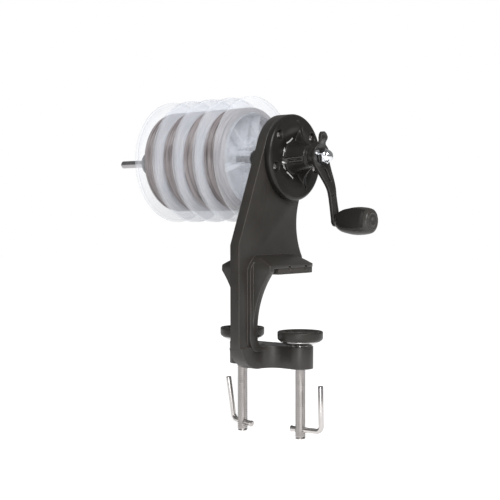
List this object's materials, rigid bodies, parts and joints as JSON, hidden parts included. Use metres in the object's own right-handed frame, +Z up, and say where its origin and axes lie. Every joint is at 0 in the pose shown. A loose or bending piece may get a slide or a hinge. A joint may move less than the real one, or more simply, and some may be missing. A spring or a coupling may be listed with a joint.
{
  "type": "fishing line winder",
  "caption": "Table-clamped line winder: a geared hand crank spins a shaft carrying a stack of clear line spools held between two cones, for winding fishing line on and off.",
  "frame": {"origin": "on the upper jaw's flat contact face, midway between the two clamp screws", "axes": "+X along the spool shaft towards the crank, +Y out of the clamp's throat, +Z up"},
  "size_m": [0.2409, 0.1094, 0.253],
  "materials": {
    "frame_black": "fine satin moulding texture",
    "cover_black": "satin",
    "screw_steel": "blackened, worn",
    "gear_acetal": "natural acetal",
    "bronze": "sintered",
    "pad_rubber": "matt",
    "steel": "turned",
    "cone_black": "semi gloss",
    "carrier_zinc": "as cast",
    "crank_black": "satin black",
    "chrome": "polished",
    "knob_black": "satin",
    "grip_rubber": "matt",
    "knob_cap": "satin",
    "clamp_black": "satin",
    "cup_steel": "bright",
    "zinc_steel": "zinc plated",
    "clear_spool": "clear polystyrene",
    "line": "wound monofilament"
  },
  "bodies": {
    "frame": {"frame": "frame_black", "gearbox_cover": "cover_black", "cover_screws": "screw_steel", "ring_gear": "gear_acetal", "shaft_bush": "bronze", "crank_bush": "bronze", "jaw_pad": "pad_rubber", "clamp_inserts": "steel"},
    "spool_shaft": {"spool_shaft": "steel", "sun_gear": "gear_acetal", "drive_cone": "cone_black", "cone_pin": "steel", "thrust_washer": "steel", "spool_1": "clear_spool", "spool_flanges_1": "clear_spool", "line_core_1": "line", "line_turns_1": "line", "spool_2": "clear_spool", "spool_flanges_2": "clear_spool", "line_core_2": "line", "line_turns_2": "line", "spool_3": "clear_spool", "spool_flanges_3": "clear_spool", "line_core_3": "line", "line_turns_3": "line", "spool_4": "clear_spool", "spool_flanges_4": "clear_spool", "line_core_4": "line", "line_turns_4": "line"},
    "end_cone": {"end_cone": "cone_black", "end_cone_screw": "screw_steel"},
    "crank": {"crank_shaft": "steel", "planet_carrier": "carrier_zinc", "planet_pins": "steel", "crank_arm": "crank_black", "lock_screw": "chrome", "acorn_nut": "chrome", "knob_spindle": "steel"},
    "planet_1": {"planet_gear_1": "gear_acetal"},
    "planet_2": {"planet_gear_2": "gear_acetal"},
    "planet_3": {"planet_gear_3": "gear_acetal"},
    "knob": {"knob": "knob_black", "knob_grips": "grip_rubber", "knob_cap": "knob_cap"},
    "clamp_pad_left": {"clamp_pad_left": "clamp_black", "clamp_cup_left": "cup_steel"},
    "clamp_screw_left": {"clamp_screw_left": "zinc_steel", "pad_clip_left": "steel"},
    "clamp_bar_left": {"clamp_bar_left": "zinc_steel"},
    "clamp_pad_right": {"clamp_pad_right": "clamp_black", "clamp_cup_right": "cup_steel"},
    "clamp_screw_right": {"clamp_screw_right": "zinc_steel", "pad_clip_right": "steel"},
    "clamp_bar_right": {"clamp_bar_right": "zinc_steel"}
  },
  "joints": [
    {"name": "spool_spin", "type": "hinge", "parent": "frame", "child": "spool_shaft", "pos_m": [0, 0.0194, 0.0853], "axis": [1, 0, 0], "continuous": true},
    {"name": "crank_spin", "type": "hinge", "parent": "frame", "child": "crank", "pos_m": [0, 0.0194, 0.0853], "axis": [1, 0, 0], "continuous": true},
    {"name": "knob_spin", "type": "hinge", "parent": "crank", "child": "knob", "pos_m": [0.06, 0.03039, 0.03806], "axis": [1, 0, 0], "continuous": true},
    {"name": "end_cone_slide", "type": "slide", "parent": "spool_shaft", "child": "end_cone", "axis": [-1, 0, 0], "range_m": [0, 0.028]},
    {"name": "planet_1_spin", "type": "hinge", "parent": "crank", "child": "planet_1", "pos_m": [0, 0.01668, 0.09699], "axis": [1, 0, 0], "continuous": true},
    {"name": "planet_2_spin", "type": "hinge", "parent": "crank", "child": "planet_2", "pos_m": [0, 0.01064, 0.0771], "axis": [1, 0, 0], "continuous": true},
    {"name": "planet_3_spin", "type": "hinge", "parent": "crank", "child": "planet_3", "pos_m": [0, 0.03088, 0.08181], "axis": [1, 0, 0], "continuous": true},
    {"name": "clamp_lift_left", "type": "slide", "parent": "frame", "child": "clamp_pad_left", "axis": [0, 0, 1], "range_m": [0, 0.041]},
    {"name": "clamp_turn_left", "type": "hinge", "parent": "clamp_pad_left", "child": "clamp_screw_left", "pos_m": [-0.0268, 0, -0.08], "axis": [0, 0, 1], "continuous": true},
    {"name": "bar_swing_left", "type": "hinge", "parent": "clamp_screw_left", "child": "clamp_bar_left", "pos_m": [-0.0268, 0, -0.1127], "axis": [-0.9385, 0.3453, 0], "continuous": true},
    {"name": "clamp_lift_right", "type": "slide", "parent": "frame", "child": "clamp_pad_right", "axis": [0, 0, 1], "range_m": [0, 0.041]},
    {"name": "clamp_turn_right", "type": "hinge", "parent": "clamp_pad_right", "child": "clamp_screw_right", "pos_m": [0.0268, 0, -0.08], "axis": [0, 0, 1], "continuous": true},
    {"name": "bar_swing_right", "type": "hinge", "parent": "clamp_screw_right", "child": "clamp_bar_right", "pos_m": [0.0268, 0, -0.1127], "axis": [0.9952, 0.0976, 0], "continuous": true}
  ],
  "couplings": [
    {"joint": "crank_spin", "follows": "spool_spin", "ratio": 0.25},
    {"joint": "planet_1_spin", "follows": "spool_spin", "ratio": -0.75},
    {"joint": "planet_2_spin", "follows": "spool_spin", "ratio": -0.75},
    {"joint": "planet_3_spin", "follows": "spool_spin", "ratio": -0.75}
  ]
}
